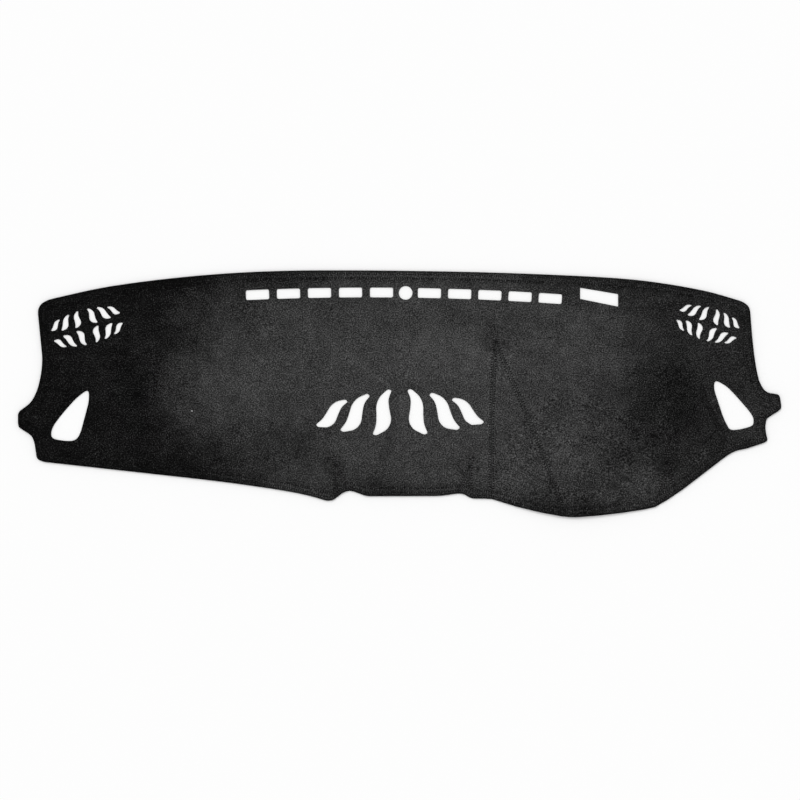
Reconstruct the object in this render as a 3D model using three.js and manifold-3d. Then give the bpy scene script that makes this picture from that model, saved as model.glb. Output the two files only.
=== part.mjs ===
// A fitted dashboard cover mat for a right-hand-drive car, lying flat with its face up.
// Millimetres, +Z up. X runs along the dashboard, left to right, and Y runs away from the driver, to the windscreen.
// The origin is on the surface that the mat lies on, under the middle of the mat's overall box.

import * as THREE from "three";
import Module from "manifold-3d";
import { mergeVertices } from "three/addons/utils/BufferGeometryUtils.js";

const wasm = await Module();
wasm.setup();

// Cloth and hem
const CLOTH_THICKNESS = 2.2;
const HEM_WIDTH = 17.5;
const HEM_FOLD_SLIT = 0.4; // between the face layer and the edge turned under it
const HEM_RAW_EDGE_GAP = 2.4; // from the turned edge to the step where the face comes down
const HEM_TOP = 2 * CLOTH_THICKNESS + HEM_FOLD_SLIT;

// Stitching
const HEM_OUTER_ROW = 7;
const HEM_INNER_ROW = 15;
const TWIN_ROW_SPACING = 7; // between the two rows along a seam
const THREAD_WIDTH = 1;
const THREAD_HEIGHT = 0.6;
const STITCH_CLEARANCE = 0.3;
const THREAD_END_FROM_HEM = 1.5;
const INNER_ROW_ROOM = 5; // from the seam on the gusset's other side
const GROOVE_HALF_WIDTH = THREAD_WIDTH / 2 + STITCH_CLEARANCE;
const GROOVE_DEPTH = THREAD_HEIGHT + STITCH_CLEARANCE;
const SEAM_GAP = 0.3;
const DART_VALLEY_WIDTH = 2;
const DART_VALLEY_DEPTH = 0.9;

// Overall size, from the middle to the ear tips and to the far and near edges
const HALF_WIDTH = 763;
const HALF_DEPTH = 247;

// Rim of the mat, in runs that are each one smooth curve, clockwise from the far left corner
const FAR_EDGE = [
  [-692, 190.5],
  [-590, 213],
  [-470, 229.5],
  [-350, 240.5],
  [-230, 246],
  [-110, HALF_DEPTH],
  [10, 246],
  [170, 243],
  [330, 237],
  [450, 230],
  [530, 220.5],
  [610, 206],
  [679.5, 186.5],
];
const FAR_RIGHT_CORNER = [699.5, 180];
const RIGHT_SIDE = [
  [701, 165],
  [703.5, 130.5],
  [706.5, 98.5],
  [710.5, 66.5],
  [716.5, 34.5],
  [722, 18.5],
  [734, 3.5],
  [755, -0.8],
];
const RIGHT_EAR_FAR_CORNER = [761, -1.5];
const RIGHT_EAR_TIP = [
  [761.5, -13.5],
  [HALF_WIDTH, -21],
  [HALF_WIDTH, -28.5],
];
const RIGHT_EAR_NEAR_CORNER = [HALF_WIDTH, -32.5];
const RIGHT_SIDE_BELOW_EAR = [
  [747, -41],
  [739, -46],
  [734, -51],
  [731.5, -62],
  [732, -76],
  [735.5, -90],
];
const NEAR_RIGHT_CORNER = [737, -95.5];
const HOOD_LOBE_EDGE = [
  [728, -98.3],
  [694, -109.8],
  [662, -119.3],
  [602, -164],
  [562, -194.6],
  [522, -220.5],
  [502, -229],
  [442, -238.5],
  [382, -245],
  [346, -HALF_DEPTH],
  [302, -241.5],
  [242, -228],
  [202, -216],
  [182, -210.5],
  [146, -209.5],
];
const RIGHT_NOTCH_STEP = [140, -208.5];
const RIGHT_NOTCH = [
  [130, -201.5],
  [120, -199.5],
  [102, -201.5],
  [82, -204.5],
];
const LEFT_NOTCH = [
  [-58, -204.5],
  [-67, -204.5],
  [-86, -197.5],
  [-99, -194],
  [-114, -198.5],
  [-129, -210.5],
];
const LEFT_NOTCH_STEP = [-133.5, -214.5];
const NEAR_EDGE = [
  [-146, -214],
  [-178, -204.5],
  [-218, -196],
  [-278, -186.5],
  [-358, -175.5],
  [-438, -166.5],
  [-558, -153.5],
  [-704, -137.5],
];
const NEAR_LEFT_CORNER = [-725.5, -135];
const LEFT_SIDE_BELOW_EAR = [
  [-726.5, -124],
  [-728.5, -105.5],
  [-733, -89.5],
  [-739, -81.5],
  [-757, -70],
];
const LEFT_EAR_NEAR_CORNER = [-HALF_WIDTH, -67];
const LEFT_EAR_TIP = [
  [-HALF_WIDTH, -60],
  [-HALF_WIDTH, -43],
];
const LEFT_EAR_FAR_CORNER = [-HALF_WIDTH, -37];
const LEFT_SIDE = [
  [-757, -32],
  [-747.5, -25.5],
  [-737.5, -17.5],
  [-728, -1.5],
  [-722, 14.5],
  [-717, 38.5],
  [-714.3, 70.5],
  [-718.5, 118.5],
  [-723, 160],
];
const FAR_LEFT_CORNER = [-725, 184];

// Windscreen demister slots: five each side of a light sensor's hole, on one flat arc
const SLOT_LENGTH = 46.4;
const SLOT_WIDTH = 19.6;
const SLOT_CORNER = 2;
const SLOT_ARC_RADIUS = 5500;
const SLOT_ARC_TOP = [-61, 202.6];
const SLOTS_EACH_SIDE = 5;
const FIRST_LEFT_SLOT = -36.1;
const LEFT_SLOT_PITCH = 62;
const FIRST_RIGHT_SLOT = 59.7;
const RIGHT_SLOT_PITCH = 60.4;
const SENSOR_HOLE_DIAMETER = 27.4;
const SENSOR_HOLE_CENTRE = [12.1, 201.7];
const SENSOR_HOLE_SIDES = 20;
const SIDE_SLOT = [
  [361, 212],
  [437, 199.3],
  [437, 174.3],
  [361, 189.7],
];

// Three-cornered holes over the door-end vents
const LEFT_END_HOLE = [
  [-623.5, 6],
  [-639, -2.5],
  [-679, -45.5],
  [-695.5, -71.5],
  [-695, -87],
  [-679, -93],
  [-650, -93],
  [-641, -84],
  [-630, -46.5],
  [-621.5, -12.5],
];
const RIGHT_END_HOLE = [
  [631.5, 25],
  [652.5, 15.5],
  [682.5, -15.5],
  [706.5, -46.5],
  [707, -61.5],
  [697, -67],
  [662, -71.5],
  [652, -57],
  [635.5, -12.5],
  [629, 14],
];

// Vents of flame-shaped openings, in mirror pairs that lean out from the middle
const FLAME_LEANS = [20, 38, 51].map(THREE.MathUtils.degToRad);
const FLAME_STATIONS = 5;
const FLAME_TIP_SHARE = 0.25; // of its greatest width
const FLAME_SWELL_SKEW = 1.25; // over 1 puts the widest place nearer to the foot
const FLAME_BOW_SHARE = 0.35; // of its sway
const ONE_ROW = [1];
const ROW_AND_ITS_MIRROR = [1, -1];
const CENTRE_VENT = {
  centre: [0.5, -36.5],
  turn: 1,
  rows: ONE_ROW,
  rowOffset: 0,
  offsets: [35.4, 89.6, 136],
  lengths: [95.5, 90.5, 78],
  widths: [32, 30.5, 26.5],
  sways: [8.2, 7.8, 6.4],
};
const LEFT_VENT = {
  centre: [-625.2, 133.9],
  turn: 14.7,
  rows: ROW_AND_ITS_MIRROR,
  rowOffset: 19,
  offsets: [16, 39.7, 60.1],
  lengths: [33.6, 34, 27.5],
  widths: [13, 12.4, 10],
  sways: [3, 2.5, 2.2],
};
const RIGHT_VENT = {
  centre: [616.7, 139.4],
  turn: -16.7,
  rows: ROW_AND_ITS_MIRROR,
  rowOffset: 18.2,
  offsets: [13.5, 33.9, 52.3],
  lengths: [31.8, 31.6, 25.6],
  widths: [11.6, 11, 9],
  sways: [2.6, 2.3, 2],
};

// Gussets: each is let into a slit that runs down from the top of a short closed dart to the near edge
const HOOD_GUSSET = {
  name: "hood_gusset",
  dartTop: [183.5, 142.5],
  tip: [192, 105.5],
  left: [
    [189, 77.5],
    [185, -12.5],
    [183.5, -99],
    [184.5, -234],
  ],
  right: [
    [203, 77.5],
    [215, 51.5],
    [247, -22.5],
    [271, -80.5],
    [313, -192.5],
    [335, -261],
  ],
};
const LEFT_SMALL_GUSSET = {
  name: "left_small_gusset",
  dartTop: [-131.5, -124],
  tip: [-129, -140],
  left: [
    [-128.5, -164],
    [-128, -184.5],
    [-125.5, -234],
  ],
  right: [
    [-122, -152],
    [-115, -168.5],
    [-102, -194],
    [-87, -223],
  ],
};
const RIGHT_SMALL_GUSSET = {
  name: "right_small_gusset",
  dartTop: [145, -125.5],
  tip: [140.5, -143.5],
  left: [
    [132.5, -161.5],
    [126, -175.5],
    [116, -198],
    [105, -223],
  ],
  right: [
    [140.5, -172.5],
    [141, -192.5],
    [142, -234],
  ],
};
const HOOD_SIDE_GUSSET = {
  name: "hood_side_gusset",
  dartTop: [537, -92],
  tip: [534, -136],
  left: [
    [530.5, -159],
    [524, -194],
    [518, -244],
  ],
  right: [
    [539.5, -159],
    [548, -185],
    [560, -221],
  ],
};
const GUSSETS = [
  HOOD_GUSSET,
  LEFT_SMALL_GUSSET,
  RIGHT_SMALL_GUSSET,
  HOOD_SIDE_GUSSET,
];

// Dart sewn in the panel beside the right-hand end hole
const END_DART = [
  [604, 15],
  [610, -11],
  [630, -48],
  [644, -83],
  [654, -100],
];

// Under the hood lobe, where the fullness that the gussets give holds the mat clear of the surface
const RISE_HEIGHT = 8;
const RISE_CENTRE = [355, -150];
const RISE_REACH = [190, 175];

// Fineness
const SAMPLE_STEP = 4;
const FEWEST_STEPS = 4;
const EDGE_TOLERANCE = 0.5;
const LINE_TOLERANCE = 0.9;
const OFFSET_TOLERANCE = 0.02;
const MERGE_DISTANCE = 1e-4;
const LIFT_CELL = 64;

// Reach of the bodies that cut the mat: past its rim, and past its two faces
const SHEET_MARGIN = 60;
const BELOW = -40;
const ABOVE = 60;
const UNDER_THE_MAT = BELOW / 2;
const OVER_THE_MAT = ABOVE / 2;

const CLOTH = new THREE.MeshStandardMaterial({
  color: 0x2b2b2b,
  roughness: 0.96,
  metalness: 0,
});
const THREAD = new THREE.MeshStandardMaterial({
  color: 0x141414,
  roughness: 0.8,
  metalness: 0,
});

// Height of the mat's underside over the surface that it lies on
function liftAt(x, y) {
  const share = Math.hypot((x - RISE_CENTRE[0]) / RISE_REACH[0], (y - RISE_CENTRE[1]) / RISE_REACH[1]);
  return share < 1 ? RISE_HEIGHT * Math.cos((share * Math.PI) / 2) ** 2 : 0;
}

const vec = ([x, y]) => new THREE.Vector2(x, y);

// Points along a path's curves, close enough together to offset
function samplePath(path) {
  const points = [];
  for (const curve of path.curves) {
    const steps = Math.max(FEWEST_STEPS, Math.ceil(curve.getLength() / SAMPLE_STEP));
    points.push(...curve.getSpacedPoints(steps).slice(0, -1));
  }
  return points;
}

function sampleOpen(points) {
  const curve = new THREE.SplineCurve(points.map(vec));
  return curve.getSpacedPoints(Math.ceil(curve.getLength() / SAMPLE_STEP));
}

function distanceToSegment(p, a, b) {
  const along = b.clone().sub(a);
  const share = THREE.MathUtils.clamp(
    p.clone().sub(a).dot(along) / Math.max(along.lengthSq(), Number.EPSILON),
    0,
    1,
  );
  return p.distanceTo(a.clone().addScaledVector(along, share));
}

// Drops the points that a straight line through their neighbours can stand for
function thinned(points, tolerance) {
  if (points.length < 3) return points;
  const first = points[0];
  const last = points.at(-1);
  let worst = 0;
  let at = 0;
  points.forEach((p, i) => {
    const d = distanceToSegment(p, first, last);
    if (d > worst) [worst, at] = [d, i];
  });
  if (worst < tolerance) return [first, last];
  return [
    ...thinned(points.slice(0, at + 1), tolerance).slice(0, -1),
    ...thinned(points.slice(at), tolerance),
  ];
}

function thinnedLoop(points, tolerance) {
  const half = Math.floor(points.length / 2);
  return [
    ...thinned(points.slice(0, half + 1), tolerance).slice(0, -1),
    ...thinned([...points.slice(half), points[0]], tolerance).slice(0, -1),
  ];
}

const rightOf = (run) => new THREE.Vector2(run.y, -run.x).normalize();

// A line beside a line, on its right for a positive distance, with mitred corners
function beside(points, distance, closed = false) {
  const n = points.length;
  return points.map((p, i) => {
    const before = points[closed ? (i + n - 1) % n : Math.max(i - 1, 0)];
    const after = points[closed ? (i + 1) % n : Math.min(i + 1, n - 1)];
    const sides = [];
    if (before !== p) sides.push(rightOf(p.clone().sub(before)));
    if (after !== p) sides.push(rightOf(after.clone().sub(p)));
    const middle = sides.reduce((sum, side) => sum.add(side), new THREE.Vector2()).normalize();
    return p.clone().addScaledVector(middle, distance / middle.dot(sides[0]));
  });
}

// The rim moved in by a distance, without the loops that tight corners would leave
function rimMovedIn(distance, tolerance) {
  const n = RIM.length;
  const kept = beside(RIM, distance, true).filter((moved) =>
    RIM.every((p, i) => distanceToSegment(moved, p, RIM[(i + 1) % n]) > distance - OFFSET_TOLERANCE),
  );
  return thinnedLoop(kept, tolerance);
}

// A strip of even width along an open line
function strip(line, halfWidth) {
  return prism([...beside(line, halfWidth), ...beside(line, -halfWidth).reverse()]);
}

function solid(geometry) {
  const bare = geometry.index ? geometry.toNonIndexed() : geometry.clone();
  bare.deleteAttribute("normal");
  bare.deleteAttribute("uv");
  const merged = mergeVertices(bare, MERGE_DISTANCE);
  return new wasm.Manifold(
    new wasm.Mesh({
      numProp: 3,
      vertProperties: merged.attributes.position.array,
      triVerts: new Uint32Array(merged.index.array),
    }),
  );
}

// Everything inside a closed outline, through the whole mat
function prism(points) {
  const geometry = new THREE.ExtrudeGeometry(new THREE.Shape(points), {
    depth: ABOVE - BELOW,
    bevelEnabled: false,
  });
  return solid(geometry.translate(0, 0, BELOW));
}

// A sheet that follows the lift, between two heights above the mat's underside
function layer(bottom, top) {
  const width = 2 * (REACH.x + SHEET_MARGIN);
  const depth = 2 * (REACH.y + SHEET_MARGIN);
  const geometry = new THREE.BoxGeometry(
    width,
    depth,
    top - bottom,
    Math.ceil(width / LIFT_CELL),
    Math.ceil(depth / LIFT_CELL),
    1,
  ).translate(0, 0, (top + bottom) / 2);
  const position = geometry.attributes.position;
  for (let i = 0; i < position.count; i++) {
    const lift = liftAt(position.getX(i), position.getY(i));
    position.setZ(i, position.getZ(i) + lift);
  }
  return solid(geometry);
}

function buildRim() {
  const path = new THREE.Path();
  const along = (points) => path.splineThru(points.map(vec));
  const round = (corner, to) => path.quadraticCurveTo(...corner, ...to);
  path.moveTo(...FAR_EDGE[0]);
  along(FAR_EDGE.slice(1));
  round(FAR_RIGHT_CORNER, RIGHT_SIDE[0]);
  along(RIGHT_SIDE.slice(1));
  round(RIGHT_EAR_FAR_CORNER, RIGHT_EAR_TIP[0]);
  along(RIGHT_EAR_TIP.slice(1));
  round(RIGHT_EAR_NEAR_CORNER, RIGHT_SIDE_BELOW_EAR[0]);
  along(RIGHT_SIDE_BELOW_EAR.slice(1));
  round(NEAR_RIGHT_CORNER, HOOD_LOBE_EDGE[0]);
  along(HOOD_LOBE_EDGE.slice(1));
  round(RIGHT_NOTCH_STEP, RIGHT_NOTCH[0]);
  along(RIGHT_NOTCH.slice(1));
  path.lineTo(...LEFT_NOTCH[0]);
  along(LEFT_NOTCH.slice(1));
  round(LEFT_NOTCH_STEP, NEAR_EDGE[0]);
  along(NEAR_EDGE.slice(1));
  round(NEAR_LEFT_CORNER, LEFT_SIDE_BELOW_EAR[0]);
  along(LEFT_SIDE_BELOW_EAR.slice(1));
  round(LEFT_EAR_NEAR_CORNER, LEFT_EAR_TIP[0]);
  along(LEFT_EAR_TIP.slice(1));
  round(LEFT_EAR_FAR_CORNER, LEFT_SIDE[0]);
  along(LEFT_SIDE.slice(1));
  round(FAR_LEFT_CORNER, FAR_EDGE[0]);
  return samplePath(path);
}

const RIM = buildRim();
const REACH = new THREE.Vector2(
  Math.max(...RIM.map((p) => Math.abs(p.x))),
  Math.max(...RIM.map((p) => Math.abs(p.y))),
);

// Openings
function roundedSlot(centreX) {
  const fromTop = centreX - SLOT_ARC_TOP[0];
  const turn = -Math.asin(fromTop / SLOT_ARC_RADIUS);
  const drop = SLOT_ARC_RADIUS * (1 - Math.cos(turn));
  const centre = new THREE.Vector2(centreX, SLOT_ARC_TOP[1] - drop);
  const halfLength = SLOT_LENGTH / 2;
  const halfWidth = SLOT_WIDTH / 2;
  const corners = [
    [halfLength, halfWidth - SLOT_CORNER],
    [halfLength - SLOT_CORNER, halfWidth],
    [SLOT_CORNER - halfLength, halfWidth],
    [-halfLength, halfWidth - SLOT_CORNER],
    [-halfLength, SLOT_CORNER - halfWidth],
    [SLOT_CORNER - halfLength, -halfWidth],
    [halfLength - SLOT_CORNER, -halfWidth],
    [halfLength, SLOT_CORNER - halfWidth],
  ];
  return corners.map((corner) =>
    vec(corner).add(centre).rotateAround(centre, turn),
  );
}

function demisterSlots() {
  const slots = [];
  for (let i = 0; i < SLOTS_EACH_SIDE; i++) {
    slots.push(roundedSlot(FIRST_LEFT_SLOT - i * LEFT_SLOT_PITCH));
    slots.push(roundedSlot(FIRST_RIGHT_SLOT + i * RIGHT_SLOT_PITCH));
  }
  return slots;
}

function sensorHole() {
  const circle = new THREE.Path().absarc(
    ...SENSOR_HOLE_CENTRE,
    SENSOR_HOLE_DIAMETER / 2,
    0,
    2 * Math.PI,
  );
  return circle.getPoints(SENSOR_HOLE_SIDES).slice(0, -1);
}

function endHole(corners) {
  const curve = new THREE.CatmullRomCurve3(
    corners.map(([x, y]) => new THREE.Vector3(x, y, 0)),
    true,
    "centripetal",
  );
  const steps = Math.ceil(curve.getLength() / SAMPLE_STEP);
  const points = curve.getSpacedPoints(steps).slice(0, -1);
  return thinnedLoop(points.map((p) => new THREE.Vector2(p.x, p.y)), EDGE_TOLERANCE);
}

// One flame at the right of its vent's middle: a leaf with blunt tips on an S-shaped spine, drawn from its top
function flame(centre, lean, length, width, sway) {
  const down = new THREE.Vector2(Math.sin(lean), -Math.cos(lean));
  const outward = new THREE.Vector2(-down.y, down.x);
  const outerSide = [];
  const innerSide = [];
  for (let i = 0; i <= FLAME_STATIONS; i++) {
    const share = i / FLAME_STATIONS;
    const bow = FLAME_BOW_SHARE * Math.sin(Math.PI * share);
    const spine = centre
      .clone()
      .addScaledVector(down, (share - 0.5) * length)
      .addScaledVector(outward, sway * (Math.sin(2 * Math.PI * share) - bow));
    const fullness = Math.sin(Math.PI * share ** FLAME_SWELL_SKEW);
    const swell = FLAME_TIP_SHARE + (1 - FLAME_TIP_SHARE) * fullness;
    outerSide.push(spine.clone().addScaledVector(outward, (swell * width) / 2));
    innerSide.unshift(spine.clone().addScaledVector(outward, (-swell * width) / 2));
  }
  return [...outerSide, ...innerSide];
}

function ventFlames({ centre, turn, rows, rowOffset, offsets, lengths, widths, sways }) {
  const angle = THREE.MathUtils.degToRad(turn);
  const ventMiddle = new THREE.Vector2(0, 0);
  const flames = [];
  offsets.forEach((offset, i) => {
    const at = new THREE.Vector2(offset, rowOffset);
    const outline = flame(at, FLAME_LEANS[i], lengths[i], widths[i], sways[i]);
    for (const row of rows) {
      for (const side of [1, -1]) {
        const place = (p) =>
          new THREE.Vector2(side * p.x, row * p.y).rotateAround(ventMiddle, angle).add(vec(centre));
        flames.push(outline.map(place));
      }
    }
  });
  return flames;
}

// A gusset's seam line, from its tip or the top of its dart down past the near edge
function seamLine(gusset, side) {
  return thinned(sampleOpen([gusset.tip, ...gusset[side]]), LINE_TOLERANCE);
}

// The short dart above a gusset, run on a little so that its valley takes in the gusset's tip
function closedDart(gusset) {
  const top = vec(gusset.dartTop);
  const tip = vec(gusset.tip);
  return [top, tip.clone().add(tip.clone().sub(top).setLength(DART_VALLEY_WIDTH))];
}

function dartAndSeam(gusset, side) {
  return [vec(gusset.dartTop), ...seamLine(gusset, side)];
}

// The part of a row on the gusset starts where the gusset is wide enough for both its rows
function innerRow(gusset, side, distance) {
  const other = seamLine(gusset, side === "left" ? "right" : "left");
  const line = beside(sampleOpen([gusset.tip, ...gusset[side]]), distance);
  const roomy = line.filter((p) =>
    other.slice(1).every((q, i) => distanceToSegment(p, other[i], q) > INNER_ROW_ROOM),
  );
  return thinned(roomy, LINE_TOLERANCE);
}

// The lines of the four top-stitching threads of a gusset
function seamRows(gusset) {
  const half = TWIN_ROW_SPACING / 2;
  return {
    left_outer: beside(dartAndSeam(gusset, "left"), half),
    left_inner: innerRow(gusset, "left", -half),
    right_inner: innerRow(gusset, "right", half),
    right_outer: beside(dartAndSeam(gusset, "right"), -half),
  };
}

const INNER_FIELD = prism(rimMovedIn(HEM_WIDTH, EDGE_TOLERANCE));
const THREAD_FIELD = prism(rimMovedIn(HEM_WIDTH + THREAD_END_FROM_HEM, EDGE_TOLERANCE));

// Everything within a half width of a closed line
function band(line, halfWidth) {
  return prism(beside(line, -halfWidth, true)).subtract(prism(beside(line, halfWidth, true)));
}

// The cloth with its rim turned under: the face steps up over the turned edge, which stays a layer of its own
function hemmedCloth() {
  const gapOuter = HEM_WIDTH - CLOTH_THICKNESS - HEM_RAW_EDGE_GAP;
  const gapInner = HEM_WIDTH - CLOTH_THICKNESS;
  const fold = prism(rimMovedIn(CLOTH_THICKNESS / 2, LINE_TOLERANCE));
  const rawEdge = prism(rimMovedIn(gapOuter, LINE_TOLERANCE));
  const step = prism(rimMovedIn(gapInner, LINE_TOLERANCE));
  const slit = fold.subtract(step).intersect(layer(CLOTH_THICKNESS, CLOTH_THICKNESS + HEM_FOLD_SLIT));
  const gap = rawEdge.subtract(step).intersect(layer(UNDER_THE_MAT, CLOTH_THICKNESS + HEM_FOLD_SLIT / 2));
  return prism(thinnedLoop(RIM, EDGE_TOLERANCE))
    .intersect(layer(0, HEM_TOP))
    .subtract(INNER_FIELD.intersect(layer(CLOTH_THICKNESS, OVER_THE_MAT)))
    .subtract(slit.add(gap));
}

function cutGroove(body, shape, top, depth) {
  return body.subtract(shape.intersect(layer(top - depth, OVER_THE_MAT)));
}

function buildSolids() {
  const solids = {};
  let cloth = hemmedCloth();
  const openings = [
    ...demisterSlots(),
    sensorHole(),
    SIDE_SLOT.map(vec),
    endHole(LEFT_END_HOLE),
    endHole(RIGHT_END_HOLE),
    ...[CENTRE_VENT, LEFT_VENT, RIGHT_VENT].flatMap(ventFlames),
  ];
  for (const opening of openings) cloth = cloth.subtract(prism(opening));

  for (const [name, row] of [
    ["hem_outer_thread", HEM_OUTER_ROW],
    ["hem_inner_thread", HEM_INNER_ROW],
  ]) {
    const line = rimMovedIn(row, LINE_TOLERANCE);
    cloth = cutGroove(cloth, band(line, GROOVE_HALF_WIDTH), HEM_TOP, GROOVE_DEPTH);
    solids[name] = band(line, THREAD_WIDTH / 2).intersect(layer(HEM_TOP - THREAD_HEIGHT, HEM_TOP));
  }

  for (const dart of [thinned(sampleOpen(END_DART), LINE_TOLERANCE), ...GUSSETS.map(closedDart)]) {
    const valley = strip(dart, DART_VALLEY_WIDTH / 2).intersect(INNER_FIELD);
    cloth = cutGroove(cloth, valley, CLOTH_THICKNESS, DART_VALLEY_DEPTH);
  }

  for (const gusset of GUSSETS) {
    for (const [row, line] of Object.entries(seamRows(gusset))) {
      const groove = strip(line, GROOVE_HALF_WIDTH).intersect(INNER_FIELD);
      cloth = cutGroove(cloth, groove, CLOTH_THICKNESS, GROOVE_DEPTH);
      solids[`${gusset.name}_${row}_thread`] = strip(line, THREAD_WIDTH / 2)
        .intersect(THREAD_FIELD)
        .intersect(layer(CLOTH_THICKNESS - THREAD_HEIGHT, CLOTH_THICKNESS));
    }
  }

  solids.main_panel = cloth;
  for (const gusset of GUSSETS) {
    const seams = ["left", "right"].map((side) => seamLine(gusset, side));
    const wedge = prism([...seams[0], ...seams[1].slice(1).reverse()]);
    solids.main_panel = solids.main_panel.subtract(wedge);
    solids[gusset.name] = seams.reduce(
      (piece, seam) => piece.subtract(strip(seam, SEAM_GAP)),
      cloth.intersect(wedge),
    );
  }
  return solids;
}

function meshOf(name, body) {
  const made = body.getMesh();
  const geometry = new THREE.BufferGeometry();
  geometry.setAttribute("position", new THREE.BufferAttribute(made.vertProperties, 3));
  geometry.setIndex(new THREE.BufferAttribute(made.triVerts, 1));
  geometry.computeVertexNormals();
  const finish = name.endsWith("_thread") ? THREAD : CLOTH;
  const mesh = new THREE.Mesh(geometry, finish.clone());
  mesh.name = name;
  return mesh;
}

const dashMat = new THREE.Group();
for (const [name, body] of Object.entries(buildSolids())) {
  dashMat.add(meshOf(name, body));
}

export default dashMat;
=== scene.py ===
"""A black flannel dashboard cover mat, laid flat on a white floor and seen from straight above.

Lengths are in metres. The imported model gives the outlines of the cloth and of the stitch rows, and this
script gives them their fold, seams, stitches, nap and tone.
"""

import math

import bpy
import numpy as np
from bpy.props import FloatProperty, FloatVectorProperty, IntProperty, PointerProperty
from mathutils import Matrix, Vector
from mathutils.geometry import delaunay_2d_cdt
from mathutils.kdtree import KDTree


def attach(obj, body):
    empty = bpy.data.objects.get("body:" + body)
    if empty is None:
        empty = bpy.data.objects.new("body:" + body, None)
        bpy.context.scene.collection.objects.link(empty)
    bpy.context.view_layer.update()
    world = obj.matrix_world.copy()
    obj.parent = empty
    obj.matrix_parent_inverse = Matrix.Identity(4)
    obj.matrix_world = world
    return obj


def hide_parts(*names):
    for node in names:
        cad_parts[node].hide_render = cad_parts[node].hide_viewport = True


bl_info = {
    "name": "Dashboard cover mat",
    "version": (1, 0, 0),
    "blender": (4, 5, 0),
    "location": "View3D > Sidebar > Dashboard mat",
    "description": "Sews a flannel dashboard cover mat: cloth, hem, gussets and stitching",
    "category": "Add Mesh",
}

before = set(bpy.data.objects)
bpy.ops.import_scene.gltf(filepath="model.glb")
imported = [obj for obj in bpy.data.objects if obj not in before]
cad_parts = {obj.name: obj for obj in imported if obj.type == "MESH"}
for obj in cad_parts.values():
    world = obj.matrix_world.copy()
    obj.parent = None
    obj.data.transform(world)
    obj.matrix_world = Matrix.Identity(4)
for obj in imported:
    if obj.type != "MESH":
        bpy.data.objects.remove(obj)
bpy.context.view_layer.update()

PANEL = "main_panel"
GUSSETS = ("hood_gusset", "left_small_gusset", "right_small_gusset", "hood_side_gusset")
HEM_ROWS = ("hem_outer_thread", "hem_inner_thread")
SEAM_ROW_ENDINGS = ("left_outer", "left_inner", "right_inner", "right_outer")

# Reading the outlines
WELD = 1e-5
STEP_OVER_EDGE = 1.2e-4
LEVEL_TOLERANCE = 5e-4
DOWNWARD = -0.5
SHORTEST_EDGE = 2e-5
# A true corner: its least turn, and the least length of the sides that meet there
RIM_CORNER = (math.radians(45), 0.0003)
OPENING_CORNER = (math.radians(60), 0.010)
SHARP_CUT = 0.0003
ROUNDING_PASSES = 3
ROUNDING_SHARE = 0.25
FEWEST_STEPS = 4
SEAM_REACH = 0.0011
NEAR_SEGMENTS = 4

# The hem's section: distance from its fold, then height of the face
HEM_FACE = (
    (0.0003, 0.0037), (0.0010, 0.0044), (0.0020, 0.0049), (0.0035, 0.0050), (0.0055, 0.0046),
    (0.0070, 0.0040), (0.0085, 0.0046), (0.0110, 0.0049), (0.0135, 0.0045), (0.0150, 0.0038),
    (0.0165, 0.0036), (0.0185, 0.0027), (0.0210, 0.0022),
)
HEM_ROW_DISTANCES = (0.0070, 0.0150)
HEM_FOLD_HEIGHT = 0.0024
HEM_UNDERSIDE = (
    (0.0003, 0.0011), (0.0010, 0.0004), (0.0022, 0.0), (0.0128, 0.0), (0.0130, 0.0022),
    (0.0152, 0.0022), (0.0175, 0.0),
)
SEAM_ROW_DISTANCE = 0.0035
# How a seam, a cut edge and the dart pull the face down: distance from the line, then change of height
SEAM_DIP = (
    (0.0, -0.0013), (0.0004, -0.0009), (0.0012, -0.0003), (0.0022, 0.0001), (0.0035, -0.0004),
    (0.0047, 0.0001), (0.0068, 0.0),
)
CUT_DIP = ((0.0, -0.0010), (0.0003, -0.0004), (0.0009, -0.0001), (0.0020, 0.0))
DART_DIP = ((0.0, -0.0009), (0.0007, -0.0005), (0.0018, -0.0001), (0.0034, 0.0001), (0.0060, 0.0))
# Painted shade in the grooves of the hem's fold and rows and along the seams and dart: how much darker the
# cloth is painted there
HEM_SHADE = (
    (0.0, 0.7), (0.0020, 0.4), (0.0055, 0.12), (0.0070, 0.3), (0.0085, 0.12), (0.0110, 0.05),
    (0.0135, 0.12), (0.0150, 0.3), (0.0165, 0.2), (0.0210, 0.08), (0.0300, 0.0),
)
SEAM_SHADE = (
    (0.0, 0.1), (0.0012, 0.06), (0.0022, 0.06), (0.0035, 0.40), (0.0047, 0.06), (0.0068, 0.0),
)
# Below zero the colour is painted lighter, a painted highlight where the nap stands up between two stitches
LEAST_SHADE = -0.25

# The dart beside the right-hand end hole, and those that run on past the gussets' tips, from their tops
END_DART = ((0.604, 0.015), (0.610, -0.011), (0.630, -0.048), (0.644, -0.083), (0.654, -0.100))
GUSSET_DARTS = {
    "hood_gusset": ((0.1835, 0.1425), (0.1920, 0.1055)),
    "left_small_gusset": ((-0.1315, -0.1240), (-0.1290, -0.1400)),
    "right_small_gusset": ((0.1450, -0.1255), (0.1405, -0.1435)),
    "hood_side_gusset": ((0.5370, -0.0920), (0.5340, -0.1360)),
}
# Where the fullness that the gussets give lifts the cloth
RISE_HEIGHT = 0.008
RISE_CENTRE = (0.355, -0.150)
RISE_REACH = (0.190, 0.175)
# Soft unevenness of cloth laid flat
WAVE_SEED = 11
WAVE_COUNT = 26
WAVE_LENGTHS = (0.045, 0.240)
WAVE_HEIGHT = 0.00028

# Mesh making
INSIDE_ONLY = 1
CDT_NEARNESS = 1e-7
RING_TOLERANCE = 0.02
RING_CLEARANCE = 0.00022
GRID_CLEARANCE = 0.55
GROOVE_SHADE_ATTRIBUTE = "painted_groove_shade"


def beyond_zero(table):
    return [distance for distance, _ in table if distance > 0]


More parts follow.
